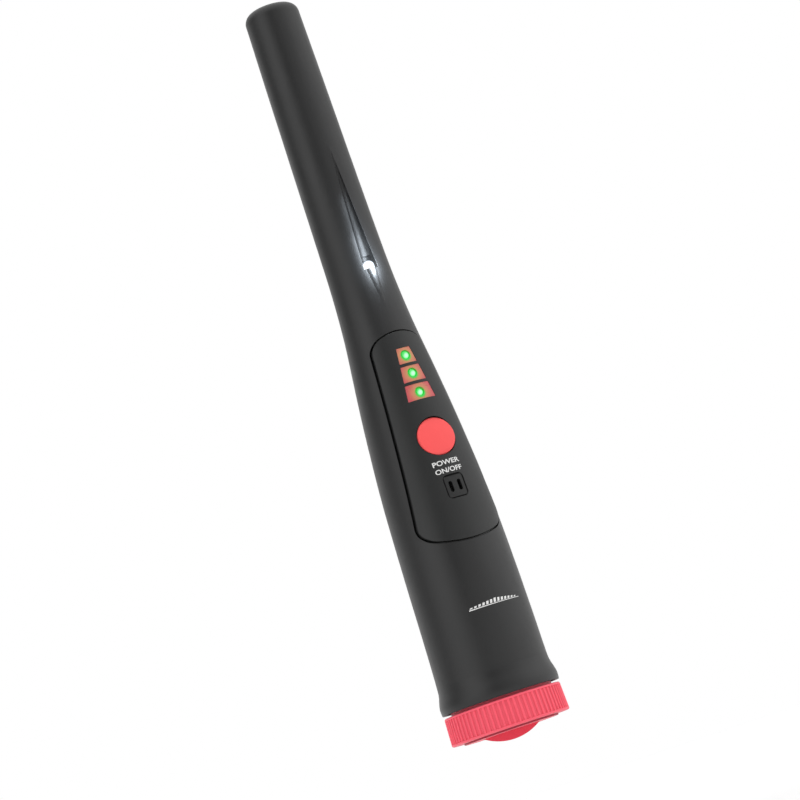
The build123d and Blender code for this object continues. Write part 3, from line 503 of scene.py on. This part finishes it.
def slats(bars, thickness):
    """Flat bars as one mesh. Each bar is four corners (x, y), in millimetres."""
    form = bmesh.new()
    for corners in bars:
        bottom = [form.verts.new((x * MM, y * MM, 0.0)) for x, y in corners]
        top = [form.verts.new((x * MM, y * MM, thickness)) for x, y in corners]
        form.faces.new(top)
        form.faces.new(bottom[::-1])
        for i in range(4):
            j = (i + 1) % 4
            form.faces.new((bottom[i], bottom[j], top[j], top[i]))
    mesh = bpy.data.meshes.new("bars")
    form.to_mesh(mesh)
    form.free()
    cut_fine(mesh, 0.6 * MM)
    return mesh


def finish_mark(mark):
    mark.data.materials.clear()
    mark.data.materials.append(white_ink)
    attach(mark, "housing")


def ink():
    """Pad-printed white ink, a little worn."""
    m = Shade("print_white")
    worn = m.remap(m.noise(2600.0, 3.0, 0.7), 0.60, 0.72, 0.0, 0.55)
    tone = m.blend(m.noise(600.0, 2.0), scaled(PRINT_WHITE, 0.9), PRINT_WHITE)
    m.set(Base_Color=m.blend(worn, tone, (0.25, 0.25, 0.25)),
          Roughness=m.remap(m.noise(2000.0), 0.3, 0.7, 0.42, 0.6),
          Normal=m.bump(m.noise(3600.0, 2.0), 0.006 * MM, 0.6))
    return m


INK_THICKNESS = 0.03 * MM
LEGEND_HEIGHT = 1.6 * MM
LEGEND_SHIFT = -0.35 * MM
across = Vector((1, 0, 0))
white_ink = ink().material
button_centre = middle("power_button")
for word, name, level, width in (("POWER", "legend_power", -8.75, 9.3),
                                 ("ON/OFF", "legend_on_off", -11.35, 9.2)):
    legend = print_on(lettering(word, width * MM, LEGEND_HEIGHT, INK_THICKNESS), name,
                      "control_panel",
                      button_centre + panel_up * level * MM + across * LEGEND_SHIFT,
                      across, panel_up, panel_out)
    finish_mark(legend)

MARK_HEIGHT = 41.9 * MM
MARK_SHIFT = 0.3 * MM
mark_bars = [[(-9.0, -0.75), (9.0, -0.55), (9.0, -0.40), (-9.0, -0.45)]]
mark_bars += [[(x, -0.25), (x + 0.75, -0.25), (x + 1.05, top), (x + 0.30, top)]
              for x, top in ((-8.8, 0.15), (-7.5, 0.30), (-6.2, 0.45), (-4.9, 0.60), (-3.6, 0.75),
                             (-2.3, 0.90), (-1.0, 1.05), (0.3, 0.90), (1.6, 0.75), (2.9, 0.60),
                             (4.2, 0.45), (5.5, 0.30), (6.8, 0.15))]
mark = print_on(slats(mark_bars, INK_THICKNESS), "trim_mark", "main_housing",
                Vector((MARK_SHIFT, 0, MARK_HEIGHT)), across, up, Vector((0, -1, 0)))
finish_mark(mark)


# ---------------------------------------------------------------- studio
def make_floor():
    """Plain pale floor, well below the object, which is held up."""
    m = Shade("floor_pale")
    cloud = m.noise(3.0, 2.0)
    m.set(Base_Color=m.blend(cloud, (0.90, 0.90, 0.90), (0.93, 0.93, 0.93)), Roughness=0.85,
          Specular_IOR_Level=0.1)
    form = bmesh.new()
    bmesh.ops.create_grid(form, x_segments=24, y_segments=24, size=FLOOR_HALF)
    mesh = bpy.data.meshes.new("floor")
    form.to_mesh(mesh)
    form.free()
    mesh.materials.append(m.material)
    floor = bpy.data.objects.new("floor", mesh)
    floor.location = (0, 0, -FLOOR_DROP)
    scene.collection.objects.link(floor)


# Light that the object sees, by angle from the camera: negative to the left, 180 behind.
LIGHT_RING = [(-180, 0.87), (-150, 0.84), (-125, 0.80), (-104, 0.45), (-86, 0.28), (-66, 1.14),
              (-42, 1.60), (-22, 0.96), (-4, 0.10), (14, 0.66), (38, 0.84), (68, 1.39),
              (98, 1.38), (130, 0.85), (180, 0.87)]
RING_TOP = max(level for angle, level in LIGHT_RING)


def make_world():
    world = bpy.data.worlds.new("studio")
    scene.world = world
    world.use_nodes = True
    tree = world.node_tree
    tree.nodes.clear()

    def add(kind, inputs, **settings):
        return add_node(tree, kind, inputs, **settings)

    way = add("ShaderNodeTexCoord", {}).outputs["Generated"]
    ahead = add("ShaderNodeVectorMath", {0: way, 1: tuple(back)}, operation="DOT_PRODUCT")
    right = add("ShaderNodeVectorMath", {0: way, 1: tuple(side)}, operation="DOT_PRODUCT")
    turn = add("ShaderNodeMath", {0: right.outputs["Value"], 1: ahead.outputs["Value"]},
               operation="ARCTAN2")
    share = add("ShaderNodeMath", {0: turn.outputs[0], 1: 1 / (2 * math.pi), 2: 0.5},
                operation="MULTIPLY_ADD")
    ramp = add("ShaderNodeValToRGB", {"Fac": share.outputs[0]})
    ramp.color_ramp.interpolation = "EASE"
    while len(ramp.color_ramp.elements) < len(LIGHT_RING):
        ramp.color_ramp.elements.new(1.0)
    for element, (angle, level) in zip(ramp.color_ramp.elements, LIGHT_RING):
        element.position = angle / 360 + 0.5
        grey = level / RING_TOP
        element.color = (grey, grey, grey, 1)
    height = add("ShaderNodeSeparateXYZ", {"Vector": way}).outputs["Z"]
    steep = add("ShaderNodeMapRange", {"Value": height, "From Min": 0.45, "From Max": 0.95,
                "To Min": 0.0, "To Max": 1.0}, interpolation_type="SMOOTHSTEP")
    sky = add("ShaderNodeMix", {0: steep.outputs[0], 6: ramp.outputs[0], 7: (0.85, 0.85, 0.85, 1)},
              data_type="RGBA")
    studio = add("ShaderNodeBackground", {"Color": sky.outputs[2], "Strength": RING_TOP})
    seen = add("ShaderNodeBackground", {"Color": (1, 1, 1, 1), "Strength": 1.0})
    ray = add("ShaderNodeLightPath", {})
    both = add("ShaderNodeMixShader", {0: ray.outputs["Is Camera Ray"], 1: studio.outputs[0],
                                       2: seen.outputs[0]})
    add("ShaderNodeOutputWorld", {"Surface": both.outputs[0]})


# Light panels that stand for the flashlight LED's glow: direction from the shaft in degrees; width,
# height, centre above the LED's and distance from the shaft in millimetres; radiance.
LAMP_PANELS = [(25.6, 11.0, 11.0, 0.0, 6.5, 7.5), (25.6, 4.2, 4.6, -0.6, 3.4, 64.0),
               (25.6, 2.4, 12.0, 6.0, 3.6, 15.0), (25.6, 1.8, 24.0, 12.0, 3.2, 5.0),
               (-25.0, 3.0, 13.0, 6.0, 4.0, 14.0), (-25.0, 2.0, 26.0, 12.5, 3.6, 5.0)]
LAMP_RADIUS = 2.0 * MM


def make_lamp_lights():
    """The light of the flashlight LED round it on the shaft and up its channel."""
    low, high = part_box("flashlight_led")
    for index, (angle, width, height, above, distance, radiance) in enumerate(LAMP_PANELS):
        away = Vector((math.sin(math.radians(angle)), -math.cos(math.radians(angle)), 0))
        light = bpy.data.lights.new("lamp_glow_%d" % index, "AREA")
        light.shape = "ELLIPSE"
        light.size = width * MM
        light.size_y = height * MM
        light.energy = radiance * math.pi * math.pi / 4 * light.size * light.size_y
        light.color = LAMP_GLOW
        holder = bpy.data.objects.new("lamp_glow_%d" % index, light)
        holder.rotation_mode = "QUATERNION"
        holder.rotation_quaternion = (-away).to_track_quat("-Z", "Y")
        beside = Vector((0, low.y, high.z - LAMP_RADIUS + above * MM))
        holder.location = beside + away * distance * MM
        holder.visible_camera = False
        scene.collection.objects.link(holder)


def make_camera():
    camera = bpy.data.cameras.new("camera")
    camera.lens = LENS
    camera.sensor_width = SENSOR_WIDTH
    camera.dof.use_dof = False
    camera.clip_start = 0.01
    camera.clip_end = 50.0
    holder = bpy.data.objects.new("camera", camera)
    place = back * CAMERA_DISTANCE + up * CAMERA_HEIGHT
    aim = side * AIM_SIDE + up * AIM_HEIGHT
    forward = (aim - place).normalized()
    level = forward.cross(up).normalized()
    rise = level.cross(forward)
    right = level * math.cos(TIP_LEAN) - rise * math.sin(TIP_LEAN)
    top = rise * math.cos(TIP_LEAN) + level * math.sin(TIP_LEAN)
    turn = Matrix((right, top, -forward)).transposed()
    holder.matrix_world = Matrix.Translation(place) @ turn.to_4x4()
    scene.collection.objects.link(holder)
    scene.camera = holder


make_floor()
make_world()
make_lamp_lights()
make_camera()
